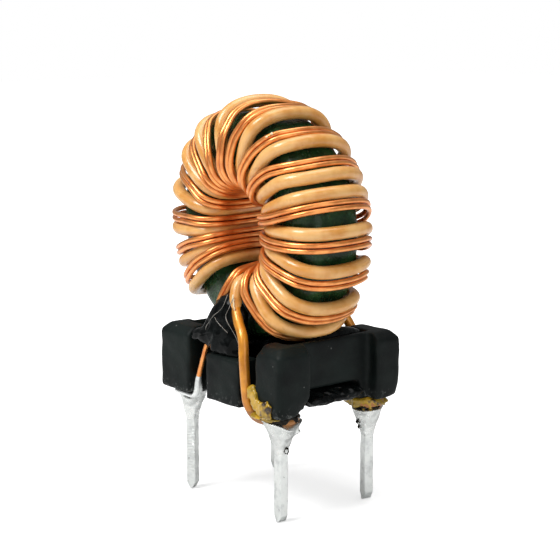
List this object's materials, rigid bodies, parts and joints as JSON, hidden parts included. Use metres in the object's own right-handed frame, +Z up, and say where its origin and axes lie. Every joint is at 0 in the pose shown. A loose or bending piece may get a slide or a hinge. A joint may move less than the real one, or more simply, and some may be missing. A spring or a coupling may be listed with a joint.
{
  "type": "toroidal inductor",
  "caption": "Upright ring-core inductor wound with a heavy insulated wire and a pair of fine copper wires, glued on a black plastic base with square solder pins.",
  "frame": {"origin": "middle of the four pins in the seating plane, under the posts of the base", "axes": "+Z up along the pins, X along the base and across the face of the ring, Y through the hole of the ring with -Y at the front"},
  "size_m": [0.0115, 0.0073, 0.0183],
  "materials": {
    "core_coat": "ferrite ring with a smooth green epoxy coat",
    "heavy_wire": "pale amber insulation over copper wire",
    "fine_wire": "lacquered copper wire",
    "base": "black moulded thermoset, matte",
    "pin": "dull tin plating",
    "solder": "bright solder with dull pits",
    "glue": "black glue, glossy where it is smooth"
  },
  "bodies": {
    "root": {"core": "core_coat", "heavy_winding": "heavy_wire", "fine_wire_a": "fine_wire", "fine_wire_b": "fine_wire", "base": "base", "pin_front": "pin", "pin_left": "pin", "pin_right": "pin", "pin_back": "pin", "solder_front": "solder", "solder_left": "solder", "solder_right": "solder", "solder_back": "solder", "glue_bed": "glue", "glue_front": "glue", "glue_tunnel": "glue"}
  },
  "joints": []
}
